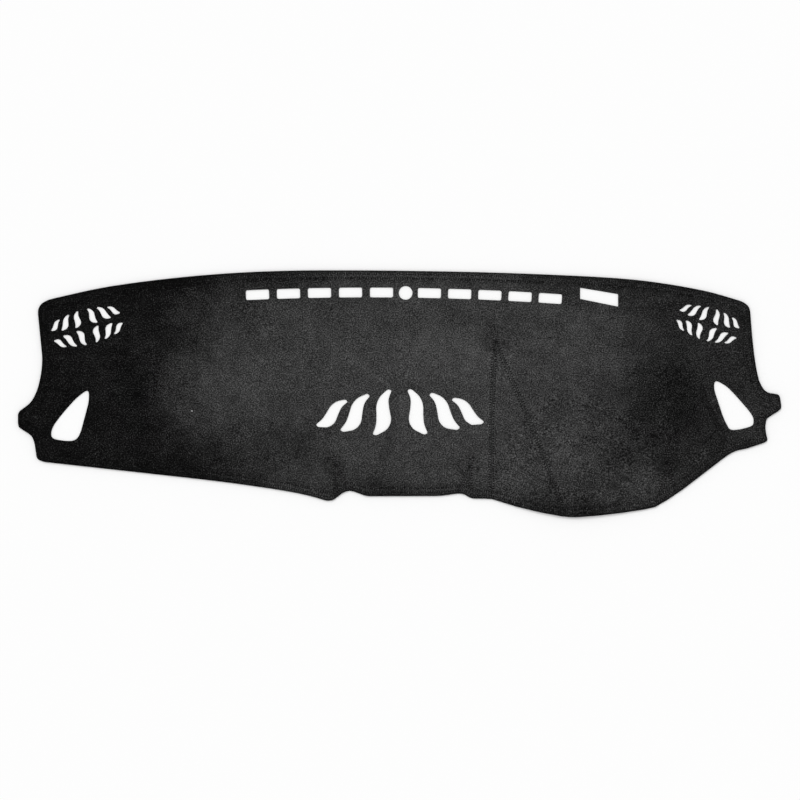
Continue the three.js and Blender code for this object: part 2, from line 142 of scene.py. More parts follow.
FACE_STATIONS = {
    "hem": [distance for distance in beyond_zero(HEM_FACE) if distance not in HEM_ROW_DISTANCES],
    "seam": [distance for distance in beyond_zero(SEAM_DIP) if distance != SEAM_ROW_DISTANCE],
    "cut": beyond_zero(CUT_DIP),
    "dart": [0.0, *beyond_zero(DART_DIP), *(-distance for distance in beyond_zero(DART_DIP))],
}
BACK_STATIONS = {"hem": beyond_zero(HEM_UNDERSIDE), "seam": [], "cut": [], "dart": []}

# Stitches
THREAD_HALF_WIDTH = 0.0005
STITCH_TURN = math.radians(4)
STITCH_LENGTH_RANGE = (0.94, 1.06)
STITCH_STATIONS = 5
STITCH_SIDES = 6
STITCH_TAPER = 0.6
STITCH_BOW_POWER = 3
# How each stitch pulls the cloth down and shades it
STITCH_PULL = 0.00025
STITCH_PULL_REACH = 0.0010
STITCH_PULL_SHADE = 0.85

# Broad tones of the cloth, in plan: painted light and shade, a lighter middle and darker ends that stand in
# for how the light falls over the nap
LIGHT_CENTRE = (0.010, 0.040)
LIGHT_RADII = (0.480, 0.330)
LIGHT_EDGE = (1.18, 0.80)
LIGHT_EDGE_SCALE = 9.0
LIGHT_EDGE_DETAIL = 3.0
LIGHT_EDGE_DRIFT = 0.25
END_TONE_CHANGE = (-0.400, 0.400)
# Darker and lighter patches: centre, radii and change of tone
TONE_PATCHES = (
    ((-0.330, 0.225), (0.150, 0.110), -0.055),
    ((-0.220, 0.227), (0.120, 0.060), -0.045),
    ((-0.420, 0.117), (0.080, 0.070), -0.050),
    ((-0.300, -0.112), (0.200, 0.090), -0.055),
    ((-0.080, -0.190), (0.130, 0.045), -0.035),
    ((0.400, -0.010), (0.110, 0.150), -0.030),
    ((0.525, -0.010), (0.100, 0.120), -0.055),
    ((0.320, 0.215), (0.150, 0.050), -0.035),
    ((0.090, 0.070), (0.200, 0.080), 0.034),
    ((0.350, 0.060), (0.120, 0.090), 0.020),
    ((0.470, -0.185), (0.130, 0.070), 0.055),
    ((0.720, -0.050), (0.090, 0.080), 0.030),
    ((0.040, -0.230), (0.420, 0.060), -0.025),
)
PATCH_FADE = (1.0, 0.35)
NOISE_MIDDLE = 0.5
# Brushed nap: scale per metre, detail, roughness and strength
NAP_LAYERS = (
    (8.0, 4.0, 0.60, 0.115),
    (24.0, 3.0, 0.60, 0.115),
    (65.0, 3.0, 0.60, 0.095),
    (170.0, 2.0, 0.60, 0.080),
)
GRAIN_SCALE = 430.0
GRAIN_DETAIL = 1.0
FINE_ROUGHNESS = 0.6
FIBRE_SCALE = 1900.0
FIBRE_STRETCH = (1.0, 0.3, 1.0)
FIBRE_STRENGTH = 0.22
GROOVE_SHADE_DARKENING = 0.9
GROOVE_SHADE_FLOOR = 0.02
DARKEST_TONE = 0.010
# From shown lightness to the share of light that comes back
TONE_OFFSET = 0.055
TONE_POWER = 2.4
# Painted shade of small creases, the first four, and two other small marks: start, end, half width and
# change of tone
CREASE_SHADE_AND_MARKS = (
    ((0.504, -0.0845), (0.510, -0.0845), 0.0030, -0.09),
    ((0.551, -0.070), (0.551, -0.088), 0.0016, -0.05),
    ((0.589, -0.022), (0.589, -0.038), 0.0016, -0.05),
    ((0.631, -0.076), (0.611, -0.098), 0.0018, -0.06),
    ((-0.4152, -0.0345), (-0.4148, -0.0345), 0.0014, 0.45),
    ((0.2945, 0.1118), (0.3035, 0.1125), 0.0014, -0.14),
)
MARK_FADE = (1.5, 0.4)
NAP_TUFT_SCALE = 140.0
NAP_TUFT_HEIGHT = 1.5
NAP_BUMP = 0.5
NAP_DEPTH = 0.0006
FLANNEL_ROUGHNESS = 0.95
FLANNEL_SPECULAR = 0.02
FLANNEL_SHEEN = 0.04
FLANNEL_SHEEN_ROUGHNESS = 0.5
THREAD_FLECK_SCALE = 900.0
THREAD_FLECK = 0.5
THREAD_TWIST_SCALE = 2500.0
THREAD_TWIST_DETAIL = 1.0
THREAD_BUMP = 0.5
THREAD_TWIST_DEPTH = 0.0001
THREAD_ROUGHNESS = 0.8
THREAD_SPECULAR = 0.08
# The Mix node's colour sockets by number, since several of its sockets share a name
MIX_FIRST_COLOUR = 6
MIX_SECOND_COLOUR = 7
MIX_RESULT_COLOUR = 2

# Stage
FLOOR_HALF = 5.0
FLOOR_HEIGHT = -0.0002
SKY_SHARE = 0.75
SUN_ANGLE = math.radians(30)
SUN_ELEVATION = math.radians(55)
SUN_BEARING = math.radians(118)
CAMERA_PLACE = (0.0009, -0.0125, 6.0)
CAMERA_LENS = 135
CAMERA_CLIP = 100.0
SENSOR = 36


class ClothSizes(bpy.types.PropertyGroup):
    outline_step: FloatProperty(
        name="Outline step", description="Distance between mesh points along the rim and the seams",
        default=0.0026, min=0.001, max=0.006, unit="LENGTH",
    )
    opening_step: FloatProperty(
        name="Opening step", description="Distance between mesh points round the openings",
        default=0.0016, min=0.001, max=0.004, unit="LENGTH",
    )
    face_step: FloatProperty(
        name="Face step", description="Distance between mesh points on the open face",
        default=0.0060, min=0.004, max=0.020, unit="LENGTH",
    )
    back_step: FloatProperty(
        name="Back step", description="Distance between mesh points on the underside",
        default=0.0140, min=0.006, max=0.030, unit="LENGTH",
    )
    seam_lap: FloatProperty(
        name="Seam lap", description="How far each piece reaches past its outline at a seam",
        default=0.00022, min=0.0, max=0.001, unit="LENGTH",
    )


class StitchSizes(bpy.types.PropertyGroup):
    hem_pitch: FloatProperty(
        name="Hem stitch pitch", description="Distance from one hem stitch to the next",
        default=0.0046, min=0.002, max=0.006, unit="LENGTH",
    )
    seam_pitch: FloatProperty(
        name="Seam stitch pitch", description="Distance from one stitch beside a seam to the next",
        default=0.0050, min=0.002, max=0.008, unit="LENGTH",
    )
    shown_share: FloatProperty(
        name="Shown share", description="Share of the pitch over which the thread lies on the face",
        default=0.54, min=0.3, max=0.95,
    )
    width: FloatProperty(
        name="Thread width", description="Width of the flattened thread",
        default=0.0015, min=0.0003, max=0.002, unit="LENGTH",
    )
    height: FloatProperty(
        name="Thread height", description="How far a stitch stands proud in its groove",
        default=0.0008, min=0.0002, max=0.002, unit="LENGTH",
    )
    sink: FloatProperty(
        name="Stitch sink", description="How far a stitch's ends go into the cloth",
        default=0.0006, min=0.0, max=0.002, unit="LENGTH",
    )
    seed: IntProperty(
        name="Stitch seed", description="Seed of the small differences between stitches", default=7,
    )


class MatTones(bpy.types.PropertyGroup):
    middle: FloatProperty(
        name="Middle tone", description="Shown lightness of the cloth's middle, 0 to 1",
        default=0.210, min=0.0, max=1.0,
    )
    left_end: FloatProperty(
        name="Left end tone", description="Shown lightness of the left end, 0 to 1",
        default=0.050, min=0.0, max=1.0,
    )
    right_end: FloatProperty(
        name="Right end tone", description="Shown lightness of the right end, 0 to 1",
        default=0.126, min=0.0, max=1.0,
    )
    grain: FloatProperty(
        name="Grain strength", description="Lightness range of the nap's finest grain",
        default=0.70, min=0.0, max=1.0,
    )
    thread: FloatVectorProperty(
        name="Thread colour", description="Colour of all the thread", subtype="COLOR",
        size=3, default=(0.0016, 0.0016, 0.0017), min=0.0, max=1.0,
    )
    floor: FloatVectorProperty(
        name="Floor colour", description="Colour of the floor under the mat", subtype="COLOR",
        size=3, default=(0.985, 0.985, 0.985), min=0.0, max=1.0,
    )


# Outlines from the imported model


def welded_model(node):
    """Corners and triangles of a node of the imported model, with corners that meet made one."""
    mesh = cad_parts[node].data
    mesh.calc_loop_triangles()
    corners = np.array([vertex.co for vertex in mesh.vertices])
    triangles = np.array([triangle.vertices for triangle in mesh.loop_triangles])
    cells = np.round(corners / WELD).astype(int)
    _, first, joined = np.unique(cells, axis=0, return_index=True, return_inverse=True)
    triangles = joined.reshape(-1)[triangles]
    ordered = np.sort(triangles, axis=1)
    whole = (ordered[:, 0] != ordered[:, 1]) & (ordered[:, 1] != ordered[:, 2])
    return corners[first], triangles[whole]


def cross_2d(a, b):
    return a[..., 0] * b[..., 1] - a[..., 1] * b[..., 0]


def unit(vectors):
    return vectors / np.maximum(np.linalg.norm(vectors, axis=-1, keepdims=True), np.finfo(float).tiny)


def lowest_floor(triangles, places):
    """Lowest height of the triangles that cover each place in plan, or infinity where none does."""
    a, b, c = triangles[:, 0], triangles[:, 1], triangles[:, 2]
    doubled_area = cross_2d(b - a, c - a)
    sound = np.abs(doubled_area) > np.finfo(float).eps
    a, b, c, doubled_area = a[sound], b[sound], c[sound], doubled_area[sound]
    out = places[:, None, :] - a[None, :, :2]
    along_b = cross_2d(out, (c - a)[:, :2]) / doubled_area
    along_c = cross_2d((b - a)[:, :2], out) / doubled_area
    covered = (along_b >= 0) & (along_c >= 0) & (along_b + along_c <= 1)
    height = a[:, 2] + along_b * (b - a)[:, 2] + along_c * (c - a)[:, 2]
    return np.where(covered, height, np.inf).min(axis=1)


def plan_outlines(node):
    """The loops that bound a node seen from above, the rim first, as corners in plan."""
    corners, triangles = welded_model(node)
    sides = corners[triangles]
    normals = unit(np.cross(sides[:, 1] - sides[:, 0], sides[:, 2] - sides[:, 0]))
    faces_down = normals[:, 2] < DOWNWARD
    owner = {}
    for number, (a, b, c) in enumerate(triangles):
        owner[a, b] = owner[b, c] = owner[c, a] = number
    edges = np.array(
        [(a, b) for (a, b), face in owner.items() if faces_down[face] and not faces_down[owner[b, a]]]
    )
    along = (corners[edges[:, 1]] - corners[edges[:, 0]])[:, :2]
    middle = corners[edges].mean(axis=1)
    outward = unit(np.column_stack([-along[:, 1], along[:, 0]])) * STEP_OVER_EDGE
    floor = sides[faces_down]
    bare_beyond = np.isinf(lowest_floor(floor, middle[:, :2] + outward))
    lowest_here = middle[:, 2] < lowest_floor(floor, middle[:, :2] - outward) + LEVEL_TOLERANCE
    edges = edges[bare_beyond & lowest_here & (np.linalg.norm(along, axis=1) > SHORTEST_EDGE)]
    ends, starts = corners[edges[:, 0], :2], corners[edges[:, 1], :2]
    gaps = np.linalg.norm(ends[:, None] - starts[None], axis=2)
    np.fill_diagonal(gaps, np.inf)
    follower = gaps.argmin(axis=1)
    unused = set(range(len(follower)))
    loops = []
    while unused:
        at = min(unused)
        chain = []
        while at in unused:
            unused.remove(at)
            chain.append(at)
            at = follower[at]
        loops.append(starts[chain])
    return sorted(loops, key=lambda loop: -abs(loop_area(loop)))


def loop_area(loop):
    return cross_2d(loop, np.roll(loop, -1, axis=0)).sum() / 2


def turns_of(to_last, to_next):
    """How far a line turns at each point, from its ways to the last point and the next."""
    return np.arccos(np.clip(-(unit(to_last) * unit(to_next)).sum(axis=1), -1, 1))


def softened(loop, corner):
    """Rounds the facets of an outline into one smooth line, and leaves its true corners nearly sharp."""
    least_turn, least_side = corner
    for _ in range(ROUNDING_PASSES):
        to_last = np.roll(loop, 1, axis=0) - loop
        to_next = np.roll(loop, -1, axis=0) - loop
        shorter = np.minimum(np.linalg.norm(to_last, axis=1), np.linalg.norm(to_next, axis=1))
        sharp = (turns_of(to_last, to_next) > least_turn) & (shorter > least_side)
        cut = shorter * ROUNDING_SHARE
        cut = np.where(sharp, np.minimum(cut, SHARP_CUT), cut)[:, None]
        loop = np.stack([loop + unit(to_last) * cut, loop + unit(to_next) * cut], axis=1).reshape(-1, 2)
    return loop


def resampled(line, step, closed=True):
    """Points at even steps along a line."""
    if closed:
        line = np.vstack([line, line[:1]])
    travelled = np.append(0, np.cumsum(np.linalg.norm(np.diff(line, axis=0), axis=1)))
    count = max(round(travelled[-1] / step), FEWEST_STEPS)
    stops = np.linspace(0, travelled[-1], count + 1)
    points = np.column_stack([np.interp(stops, travelled, line[:, axis]) for axis in range(2)])
    return points[:-1] if closed else points


def cut_line(loop, step, corner):
    """A smooth outline in even steps that still meets each true corner."""
    smooth = softened(loop, corner)
    points = resampled(smooth, step)
    to_last = np.roll(loop, 1, axis=0) - loop
    to_next = np.roll(loop, -1, axis=0) - loop
    for place in loop[turns_of(to_last, to_next) > corner[0]]:
        nearest = np.linalg.norm(points - place, axis=1).argmin()
        points[nearest] = smooth[np.linalg.norm(smooth - place, axis=1).argmin()]
    return points


def counter_clockwise(loop):
    return loop if loop_area(loop) > 0 else loop[::-1]


def segments_of(line, closed=True):
    """Start and end of each straight stretch of a line."""
    ends = np.roll(line, -1, axis=0)
    pairs = np.stack([line, ends], axis=1)
    return pairs if closed else pairs[:-1]


class Lines:
    """Short straight segments, which tell how far a point is from the nearest of them."""

    def __init__(self, segments, values=None):
        self.start = segments[:, 0]
        self.along = segments[:, 1] - segments[:, 0]
        self.values = np.zeros((len(segments), 2)) if values is None else values
        self.tree = tree_of(segments.mean(axis=1))

    def nearest(self, points):
        """Distance to the nearest segment, and the value there between those of its two ends."""
        near = np.array(
            [[hit[1] for hit in self.tree.find_n((x, y, 0.0), NEAR_SEGMENTS)] for x, y in points.tolist()]
        )
        along = self.along[near]
        out = points[:, None] - self.start[near]
        share = np.clip((out * along).sum(axis=2) / (along**2).sum(axis=2), 0, 1)
        distance = np.linalg.norm(out - share[..., None] * along, axis=2)
        best = distance.argmin(axis=1)[:, None]
        share = np.take_along_axis(share, best, axis=1)[:, 0]
        first, last = self.values[np.take_along_axis(near, best, axis=1)[:, 0]].T
        return np.take_along_axis(distance, best, axis=1)[:, 0], first + share * (last - first)

    def distance(self, points):
        return self.nearest(points)[0]


def tree_of(points):
    """Search tree over points in plan."""
    tree = KDTree(len(points))
    for number, (x, y) in enumerate(points.tolist()):
        tree.insert((x, y, 0.0), number)
    tree.balance()
    return tree


def from_table(distance, table):
    """Value read off a section drawn as (distance, value) points."""
    stations, values = zip(*table)
    return np.interp(distance, stations, values)


class MatPlan:
    """Where the mat's fold, seams, openings and dart run, seen from above."""

    def __init__(self, sizes, stitches):
        self.rims = {}
        self.openings = []
        for node in (PANEL, *GUSSETS):
            rim, *openings = plan_outlines(node)
            self.rims[node] = cut_line(counter_clockwise(rim), sizes.outline_step, RIM_CORNER)
            for loop in openings:
                self.openings.append(cut_line(counter_clockwise(loop), sizes.opening_step, OPENING_CORNER))
        gusset_lines = Lines(np.concatenate([segments_of(self.rims[node]) for node in GUSSETS]))
        panel_lines = Lines(segments_of(self.rims[PANEL]))
        self.at_seam = {}
        hem, seam = [], []
        for node, rim in self.rims.items():
            others = gusset_lines if node == PANEL else panel_lines
            sewn = others.distance(rim) < SEAM_REACH
            self.at_seam[node] = sewn
            both = sewn & np.roll(sewn, -1)
            hem.append(segments_of(rim)[~both])
            seam.append(segments_of(rim)[both])
        self.hem = Lines(np.concatenate(hem))
        self.seam = Lines(np.concatenate(seam))
        self.cuts = Lines(np.concatenate([segments_of(loop) for loop in self.openings]))
        self.dart_lines = [
            resampled(np.array(dart), sizes.outline_step, closed=False)
            for dart in (END_DART, *GUSSET_DARTS.values())
        ]
        self.darts = Lines(np.concatenate([segments_of(line, closed=False) for line in self.dart_lines]))
        self.waves = soft_waves()
        self.rows = {}
        for node in HEM_ROWS:
            self.rows[node] = StitchRow(node, stitches.hem_pitch)
        for gusset in GUSSETS:
            for ending in SEAM_ROW_ENDINGS:
                node = f"{gusset}_{ending}_thread"
                self.rows[node] = StitchRow(node, stitches.seam_pitch)
        pulls = [row.pulls for row in self.rows.values()]
        self.stitching = Lines(*(np.concatenate(part) for part in zip(*pulls)))

    def lift(self, points):
        """How far the gussets' fullness lifts the cloth off the floor."""
        reach = np.linalg.norm((points - RISE_CENTRE) / RISE_REACH, axis=1)
        return RISE_HEIGHT * np.cos(np.minimum(reach, 1) * math.pi / 2) ** 2

    def unevenness(self, points):
        directions, phases = self.waves
        return WAVE_HEIGHT * np.sin(points @ directions.T + phases).sum(axis=1) / math.sqrt(WAVE_COUNT)

    def face(self, points):
        """Height of the napped face, and its painted shade: how much darker the cloth is painted in the
        grooves along the hem, seams, dart and stitches.
        """
        hem = self.hem.distance(points)
        seam = self.seam.distance(points)
        dart = self.darts.distance(points)
        height = from_table(hem, ((0.0, HEM_FOLD_HEIGHT), *HEM_FACE)) + from_table(seam, SEAM_DIP)
        height += from_table(self.cuts.distance(points), CUT_DIP) + from_table(dart, DART_DIP)
        height += self.lift(points) + self.unevenness(points) * np.clip(hem / HEM_FACE[-1][0], 0, 1)
        shade = np.maximum(from_table(hem, HEM_SHADE), from_table(np.minimum(seam, dart), SEAM_SHADE))
        away, pull = self.stitching.nearest(points)
        pull = (2 * pull - 1) * np.exp(-((away / STITCH_PULL_REACH) ** 2))
        height -= STITCH_PULL * pull
        shade = np.clip(shade + STITCH_PULL_SHADE * pull, LEAST_SHADE, 1)
        return height, shade

    def back(self, points):
        """Height of the underside."""
        hem = self.hem.distance(points)
        return from_table(hem, ((0.0, HEM_FOLD_HEIGHT), *HEM_UNDERSIDE)) + self.lift(points)


class StitchRow:
    """The places of a row's stitches, and the line through them that pulls the cloth down."""

    def __init__(self, node, pitch):
        line, self.closed = stitch_line(node, pitch)
        for gusset, dart in GUSSET_DARTS.items():
            if node.startswith(gusset) and node.endswith("_outer_thread"):
                line = run_on(line, np.array(dart))
        half_steps = resampled(line, pitch / 2, self.closed)
        if len(half_steps) % 2:
            half_steps = half_steps[:-1]
        self.places = half_steps[::2]
        if self.closed:
            along = np.roll(half_steps, -1, axis=0) - np.roll(half_steps, 1, axis=0)
        else:
            along = np.gradient(half_steps, axis=0)
        self.along = unit(along)[::2]
        side = unit(np.column_stack([-along[:, 1], along[:, 0]]))
        rings = (-STITCH_PULL_REACH, 0.0, STITCH_PULL_REACH)
        self.ring_points = [half_steps + side * away for away in rings]
        at_stitch = (np.arange(len(half_steps)) % 2 == 0).astype(float)
        values = np.column_stack([at_stitch, np.roll(at_stitch, -1)])
        segments = segments_of(half_steps, self.closed)
        self.pulls = (segments, values[: len(segments)])


def run_on(line, dart):
    """Carries a row of stitches on past its gusset's tip, beside the dart there."""
    top, tip = dart
    up = unit(top - tip)
    side = np.array([-up[1], up[0]])
    if (line[-1] - line[0]) @ up < 0:
        line = line[::-1]
    beside = SEAM_ROW_DISTANCE * np.sign((line[-1] - tip) @ side) * side
    below = line[(line - tip) @ up < 0]
    return np.vstack([below, tip + beside, top + beside])


def soft_waves():
    """Wave directions and phases of the cloth's slight unevenness."""
    random = np.random.default_rng(WAVE_SEED)
    angles = random.uniform(0, math.tau, WAVE_COUNT)
    lengths = np.exp(random.uniform(*np.log(WAVE_LENGTHS), WAVE_COUNT))
    directions = np.column_stack([np.cos(angles), np.sin(angles)]) * (math.tau / lengths)[:, None]
    return directions, random.uniform(0, math.tau, WAVE_COUNT)


# Cloth meshes


def inward_normals(loop):
    """Unit normals that point to the left of a closed line, into the cloth of a counter-clockwise rim."""
    along = np.roll(loop, -1, axis=0) - np.roll(loop, 1, axis=0)
    return unit(np.column_stack([-along[:, 1], along[:, 0]]))


def honeycomb(low, high, step):
    """Evenly spread points over a box in plan."""
    row_height = step * math.sqrt(3) / 2
    rows = np.arange(low[1], high[1], row_height)
    across = np.arange(low[0], high[0], step)
    shifts = [(number % 2) * step / 2 for number in range(len(rows))]
    grid = [np.column_stack([across + shift, np.full(len(across), y)]) for shift, y in zip(shifts, rows)]
    return np.concatenate(grid)


def thinned(points, clearance):
    """Points with no more than one to a square cell of that size."""
    _, first = np.unique(np.floor(points / clearance).astype(int), axis=0, return_index=True)
    return points[np.sort(first)]


def away_from(points, others, clearance):
    """The points that keep clear of all the others."""
    tree = tree_of(others)
    return np.array([(x, y) for x, y in points.tolist() if tree.find((x, y, 0.0))[2] > clearance])


def triangulated(rim, holes, within):
    """Triangles over the cloth between rim and holes, as numbers into rim, holes and within joined."""
    points = np.concatenate([rim, *holes, within])
    edges = []
    first = 0
    for loop in (rim, *holes):
        numbers = np.arange(first, first + len(loop))
        edges += list(zip(numbers.tolist(), np.roll(numbers, -1).tolist()))
        first += len(loop)
    result = delaunay_2d_cdt([Vector(p) for p in points], edges, [], INSIDE_ONLY, CDT_NEARNESS)
    corner_of = np.array([origins[0] if origins else -1 for origins in result[3]])
    triangles = corner_of[np.array(result[2])]
    middles = points[triangles].mean(axis=1)
    in_cloth = (triangles >= 0).all(axis=1)
    for hole in holes:
        in_cloth &= ~inside(middles, hole)
    return points, triangles[in_cloth]


def inside(points, loop):
    """Whether each point lies inside a closed line."""
    near = np.flatnonzero(((points > loop.min(axis=0)) & (points < loop.max(axis=0))).all(axis=1))
    x, y = points[near].T
    crossings = np.zeros(len(near), int)
    for (start_x, start_y), (end_x, end_y) in segments_of(loop):
        if start_y != end_y:
            crossing_x = start_x + (y - start_y) * (end_x - start_x) / (end_y - start_y)
            crossings += ((start_y > y) != (end_y > y)) & (x < crossing_x)
    result = np.zeros(len(points), bool)
    result[near] = crossings % 2 == 1
    return result


def ring_points(line, normals, stations, lines):
    """Points beside a line at the stations' distances, where no other stretch of its kind is nearer."""
    rings = []
    for station in stations:
        ring = line + normals * station
        rings.append(ring[np.abs(lines.distance(ring) - station) < RING_TOLERANCE * station + WELD])
    return rings


def cloth_points(plan, node, rim, holes, stations, step):
    """Points over one piece of cloth, in rings along its lines and evenly between them."""
    sewn = plan.at_seam[node]
    normals = inward_normals(rim)
    rings = ring_points(rim[~sewn], normals[~sewn], stations["hem"], plan.hem)
    rings += ring_points(plan.rims[node][sewn], normals[sewn], stations["seam"], plan.seam)
    for hole in holes:
        rings += ring_points(hole, -inward_normals(hole), stations["cut"], plan.cuts)
    if node == PANEL:
        for line in plan.dart_lines:
            along = unit(np.gradient(line, axis=0))
            side = np.column_stack([-along[:, 1], along[:, 0]])
            rings += [line + side * distance for distance in stations["dart"]]
    if stations["seam"]:
        rows = np.concatenate([np.concatenate(row.ring_points) for row in plan.rows.values()])
        rings.insert(0, rows[inside(rows, plan.rims[node])])
    edge = np.concatenate([rim, *holes])
    margin = np.array([step, step])
    grid = honeycomb(rim.min(axis=0) - margin, rim.max(axis=0) + margin, step)
    if rings:
        rings = away_from(thinned(np.concatenate(rings), RING_CLEARANCE), edge, RING_CLEARANCE)
        between = away_from(grid, np.concatenate([edge, rings]), step * GRID_CLEARANCE)
        return np.concatenate([rings, between])
    return away_from(grid, edge, step * GRID_CLEARANCE)


def cloth_piece(plan, node, sizes):
    """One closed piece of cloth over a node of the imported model."""
    rim = plan.rims[node].copy()
    sewn = plan.at_seam[node]
    rim[sewn] -= inward_normals(plan.rims[node])[sewn] * sizes.seam_lap
    holes = plan.openings if node == PANEL else []
    face = cloth_points(plan, node, rim, holes, FACE_STATIONS, sizes.face_step)
    back = cloth_points(plan, node, rim, holes, BACK_STATIONS, sizes.back_step)
    face_plan, face_triangles = triangulated(rim, holes, face)
    back_plan, back_triangles = triangulated(rim, holes, back)
    edge_count = len(rim) + sum(len(hole) for hole in holes)
    face_heights, shades = plan.face(face_plan)
    back_heights = plan.back(back_plan)
    edge_heights = (face_heights[:edge_count] + back_heights[:edge_count]) / 2
    vertices = np.concatenate(
        [
            np.column_stack([face_plan[:edge_count], edge_heights]),
            np.column_stack([face, face_heights[edge_count:]]),
            np.column_stack([back, back_heights[edge_count:]]),
        ]
    )
    turned = back_triangles[:, ::-1].copy()
    turned[turned >= edge_count] += len(face)
    triangles = np.concatenate([face_triangles, turned])
    used, triangles = np.unique(triangles, return_inverse=True)
    mesh = mesh_from(node + "_cloth", vertices[used], triangles.reshape(-1, 3))
    # The painted shade of the grooves, kept on each corner of the face
    groove_shade = mesh.attributes.new(GROOVE_SHADE_ATTRIBUTE, "FLOAT", "POINT")
    groove_shade.data.foreach_set("value", np.append(shades, np.zeros(len(back)))[used].astype(np.float32))
    return mesh


def mesh_from(name, vertices, triangles):
    mesh = bpy.data.meshes.new(name)
    mesh.from_pydata(vertices.tolist(), [], triangles.tolist())
    mesh.validate()
    mesh.shade_smooth()
    return mesh


def placed(name, mesh, material):
    piece = bpy.data.objects.new(name, mesh)
    mesh.materials.append(material)
    bpy.context.scene.collection.objects.link(piece)
    return piece


# Stitches


def stitch_line(node, step):
    """Middle line of a thread node, and whether it closes on itself."""
    loops = plan_outlines(node)
    outer = counter_clockwise(loops[0])
    if len(loops) > 1:
        outer = resampled(softened(outer, OPENING_CORNER), step)
        return outer + inward_normals(outer) * THREAD_HALF_WIDTH, True
    gaps = np.linalg.norm(outer[:, None] - outer[None], axis=2)
    first, last = sorted(np.unravel_index(gaps.argmax(), gaps.shape))
    one_side = outer[first : last + 1]
    other_side = np.concatenate([outer[last:], outer[: first + 1]])[::-1]
    count = max(round(gaps.max() / step), FEWEST_STEPS)
    sides = [resampled(side, gaps.max() / count, closed=False) for side in (one_side, other_side)]
    count = min(len(side) for side in sides)
    stops = np.linspace(0, 1, count)
    even = []
    for side in sides:
        own_stops = np.linspace(0, 1, len(side))
        even.append(np.column_stack([np.interp(stops, own_stops, side[:, axis]) for axis in range(2)]))
    return (even[0] + even[1]) / 2, False


def stitch_row(plan, node, pitch, sizes, random):
    """Every stitch of one row, each a short flattened bow of thread whose ends go into the cloth."""
    places, along = plan.rows[node].places, plan.rows[node].along
    turn = random.normal(0, STITCH_TURN, len(places))
    along = np.column_stack(
        [
            along[:, 0] * np.cos(turn) - along[:, 1] * np.sin(turn),
            along[:, 0] * np.sin(turn) + along[:, 1] * np.cos(turn),
        ]
    )
    across = np.column_stack([-along[:, 1], along[:, 0]])
    reach = pitch * sizes.shown_share / 2 * random.uniform(*STITCH_LENGTH_RANGE, len(places))
    stations = np.linspace(-1, 1, STITCH_STATIONS)
    spokes = np.arange(STITCH_SIDES) * math.tau / STITCH_SIDES
    middles = places[:, None] + along[:, None] * (stations[None, :, None] * reach[:, None, None])
    ground = plan.face(middles.reshape(-1, 2))[0].reshape(len(places), STITCH_STATIONS)
    bow = sizes.height / 2 - (sizes.sink + sizes.height / 2) * np.abs(stations) ** STITCH_BOW_POWER
    fullness = np.sqrt(1 - STITCH_TAPER * stations**2)
    rings = np.empty((len(places), STITCH_STATIONS, STITCH_SIDES, 3))
    sideways = np.cos(spokes)[None, None, :, None] * fullness[None, :, None, None] * sizes.width / 2
    rings[..., :2] = middles[:, :, None] + across[:, None, None] * sideways
    rings[..., 2] = (ground + bow)[..., None] + np.sin(spokes) * fullness[:, None] * sizes.height / 2
    per_stitch = STITCH_STATIONS * STITCH_SIDES
    faces = []
    for station in range(STITCH_STATIONS - 1):
        for side in range(STITCH_SIDES):
            a = station * STITCH_SIDES + side
            b = station * STITCH_SIDES + (side + 1) % STITCH_SIDES
            faces += [(a, a + STITCH_SIDES, b), (b, a + STITCH_SIDES, b + STITCH_SIDES)]
    last = per_stitch - STITCH_SIDES
    for side in range(1, STITCH_SIDES - 1):
        faces += [(0, side, side + 1), (last, last + side + 1, last + side)]
    offsets = np.arange(len(places))[:, None, None] * per_stitch
    triangles = (np.array(faces)[None] + offsets).reshape(-1, 3)
    return mesh_from(node + "_stitches", rings.reshape(-1, 3), triangles)


# Materials


class Signal:
    """A value or colour in a node tree, which takes Python's arithmetic."""

    def __init__(self, tree, socket):
        self.tree = tree
        self.socket = socket

    def node(self, kind, settings, inputs, output=0):
        """Adds a node of any kind, sets it up, feeds its sockets and gives back one of its outputs."""
        added = self.tree.nodes.new(kind)
        for name, value in settings.items():
            setattr(added, name, value)
        for name, value in inputs.items():
            feed(self.tree, added.inputs[name], value)
        return Signal(self.tree, added.outputs[output])

    def math(self, operation, *values):
        return self.node("ShaderNodeMath", {"operation": operation}, dict(enumerate(values)))

    def __add__(self, other):
        return self.math("ADD", self, other)

    __radd__ = __add__

    def __sub__(self, other):
        return self.math("SUBTRACT", self, other)

    def __rsub__(self, other):
        return self.math("SUBTRACT", other, self)

    def __mul__(self, other):
        return self.math("MULTIPLY", self, other)

    __rmul__ = __mul__

    def __truediv__(self, other):
        return self.math("DIVIDE", self, other)

    def __pow__(self, other):
        return self.math("POWER", self, other)

    def absolute(self):
        return self.math("ABSOLUTE", self)

    def at_least(self, other):
        return self.math("MAXIMUM", self, other)

    def at_most(self, other):
        return self.math("MINIMUM", self, other)

    def ramp(self, low, high):
        """Rises smoothly from 0 at low to 1 at high."""
        return self.node(
            "ShaderNodeMapRange",
            {"interpolation_type": "SMOOTHSTEP"},
            {"Value": self, "From Min": low, "From Max": high},
        )

    def noise(self, scale, detail=2.0, roughness=0.5, stretch=(1.0, 1.0, 1.0)):
        """Soft noise about 0, from -0.5 to 0.5, at a scale per metre."""
        place = self.node("ShaderNodeVectorMath", {"operation": "MULTIPLY"}, {0: self, 1: stretch})
        noise = place.node(
            "ShaderNodeTexNoise",
            {"noise_dimensions": "3D"},
            {"Vector": place, "Scale": scale, "Detail": detail, "Roughness": roughness},
        )
        return noise - NOISE_MIDDLE


def feed(tree, socket, value):
    if isinstance(value, Signal):
        tree.links.new(value.socket, socket)
    else:
        socket.default_value = value


